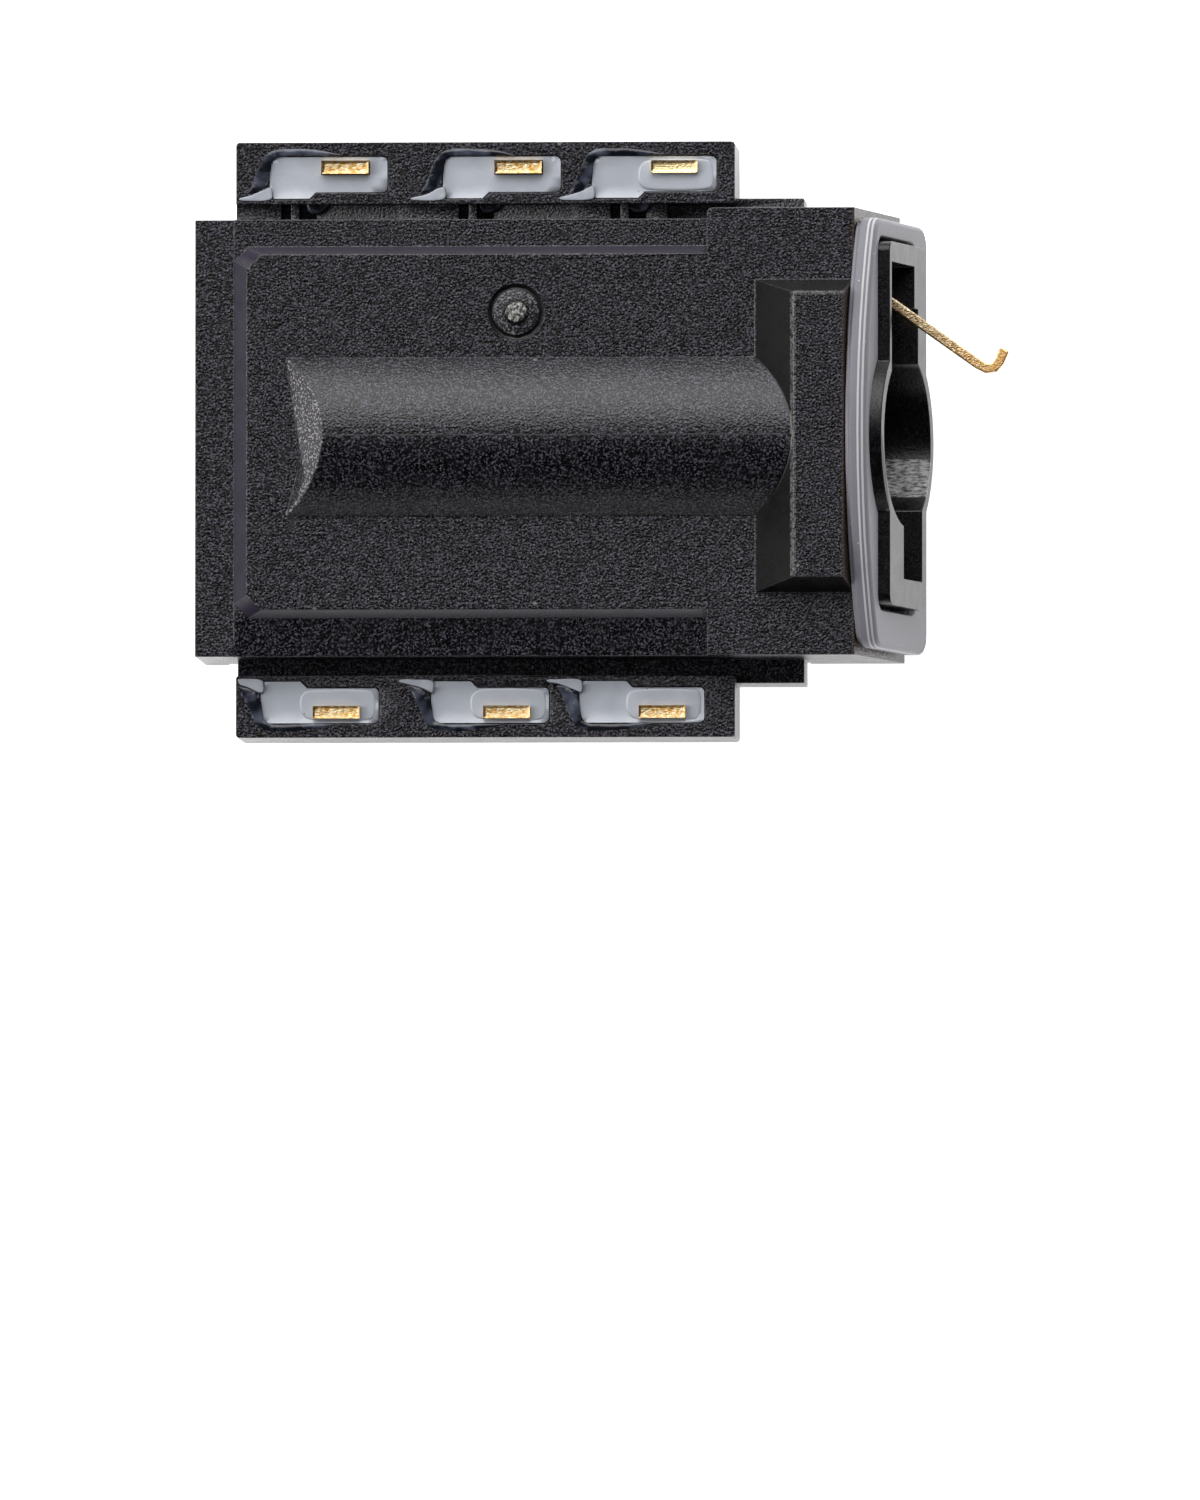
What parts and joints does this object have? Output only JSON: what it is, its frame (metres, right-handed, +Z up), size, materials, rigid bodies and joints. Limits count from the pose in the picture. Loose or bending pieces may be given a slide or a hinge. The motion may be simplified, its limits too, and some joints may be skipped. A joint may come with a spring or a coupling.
{
  "type": "audio jack socket",
  "caption": "Sealed 3.5 mm audio jack socket module with a keyhole mouth, silicone gasket, potted side terminals and an underside film.",
  "frame": {"origin": "centre of the bounding box at the level of the underside", "axes": "+X out of the mouth along the plug's axis, +Y to the left side seen by the plug's user, +Z up through the top with the barrel"},
  "size_m": [0.0166, 0.0122, 0.0048],
  "materials": {
    "black_moulding": "satin, fine sparkling grain",
    "film": "satin film",
    "grey_silicone": "soft satin",
    "milky_resin": "milky, smooth",
    "gold_plate": "gold plated, rough cut ends",
    "worn_gold": "dull, scratched"
  },
  "bodies": {
    "socket": {"housing": "black_moulding", "front_gasket": "grey_silicone", "sealing_film": "film", "resin_left_rear": "milky_resin", "resin_left_middle": "milky_resin", "resin_left_front": "milky_resin", "resin_right_rear": "milky_resin", "resin_right_middle": "milky_resin", "resin_right_front": "milky_resin", "terminal_left_rear": "gold_plate", "terminal_left_middle": "gold_plate", "terminal_right_rear": "gold_plate", "terminal_right_middle": "gold_plate", "terminal_right_front": "gold_plate", "contact_bent": "worn_gold"},
    "leaf_left_rear": {"spring_left_rear": "gold_plate"},
    "leaf_left_middle": {"spring_left_middle": "gold_plate"},
    "leaf_right_rear": {"spring_right_rear": "gold_plate"},
    "leaf_right_middle": {"spring_right_middle": "gold_plate"},
    "leaf_right_front": {"spring_right_front": "gold_plate"}
  },
  "joints": [
    {"name": "left_rear_flex", "type": "hinge", "parent": "socket", "child": "leaf_left_rear", "pos_m": [-0.0048, 0.0024, 0.0024], "axis": [0, 0, 1], "range_deg": [0, 12], "stiffness_Nm_per_rad": 0.007},
    {"name": "left_middle_flex", "type": "hinge", "parent": "socket", "child": "leaf_left_middle", "pos_m": [-0.00125, 0.0024, 0.0024], "axis": [0, 0, 1], "range_deg": [0, 12], "stiffness_Nm_per_rad": 0.007},
    {"name": "right_rear_flex", "type": "hinge", "parent": "socket", "child": "leaf_right_rear", "pos_m": [-0.00498, -0.0024, 0.0024], "axis": [0, 0, -1], "range_deg": [0, 12], "stiffness_Nm_per_rad": 0.007},
    {"name": "right_middle_flex", "type": "hinge", "parent": "socket", "child": "leaf_right_middle", "pos_m": [-0.00149, -0.0024, 0.0024], "axis": [0, 0, -1], "range_deg": [0, 12], "stiffness_Nm_per_rad": 0.007},
    {"name": "right_front_flex", "type": "hinge", "parent": "socket", "child": "leaf_right_front", "pos_m": [0.00169, -0.0024, 0.0024], "axis": [0, 0, -1], "range_deg": [0, 12], "stiffness_Nm_per_rad": 0.007}
  ]
}
